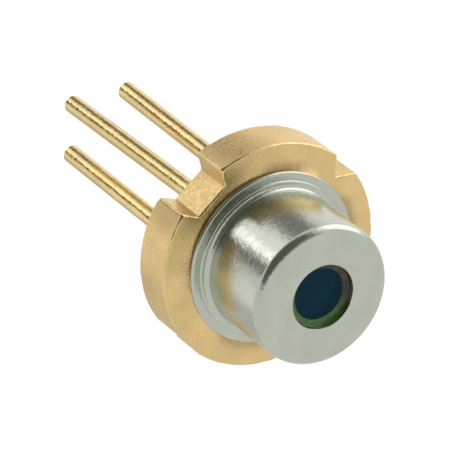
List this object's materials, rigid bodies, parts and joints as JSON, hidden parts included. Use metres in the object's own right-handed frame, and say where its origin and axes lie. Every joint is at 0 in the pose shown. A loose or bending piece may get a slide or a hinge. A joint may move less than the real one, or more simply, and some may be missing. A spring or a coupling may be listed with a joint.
{
  "type": "laser diode",
  "caption": "Laser diode in a small metal can: notched gold-plated stem, nickel cap with a sealed window, straight leads behind.",
  "frame": {"origin": "centre of the stem's front face, the reference face round the cap, on the beam axis", "axes": "+Z along the beam, out of the window, with the leads towards -Z. +Y from the axis to the middle of the rectangular notch. The laser lead is at -X and the monitor lead at +X."},
  "size_m": [0.0056, 0.0055, 0.0104],
  "materials": {
    "stem_gold": "satin gold plate on a coined and turned iron stem",
    "heat_sink_gold": "gold plate on a copper block",
    "lead_gold": "bright gold plate on drawn iron-nickel wire",
    "wire_gold": "bare gold bond wire",
    "braze": "gold plate over silver-copper braze",
    "solder": "gold-tin solder",
    "cap_nickel": "nickel plate on deep-drawn iron-nickel sheet, satin front and bright corners",
    "window_glass": "polished glass with a blue-green anti-reflection coating",
    "seal_glass": "fused dark green glass",
    "submount_ceramic": "metallised aluminium nitride",
    "laser_semiconductor": "cleaved gallium arsenide",
    "monitor_silicon": "polished silicon with a blue oxide"
  },
  "bodies": {
    "root": {"stem": "stem_gold", "heat_sink_braze": "braze", "heat_sink": "heat_sink_gold", "submount_solder": "solder", "submount": "submount_ceramic", "laser_chip": "laser_semiconductor", "monitor_solder": "solder", "monitor_chip": "monitor_silicon", "laser_lead": "lead_gold", "laser_lead_seal": "seal_glass", "monitor_lead": "lead_gold", "monitor_lead_seal": "seal_glass", "case_lead": "lead_gold", "case_lead_braze": "braze", "chip_wire": "wire_gold", "submount_wire": "wire_gold", "monitor_wire": "wire_gold", "cap": "cap_nickel", "window": "window_glass", "window_seal": "seal_glass"}
  },
  "joints": []
}
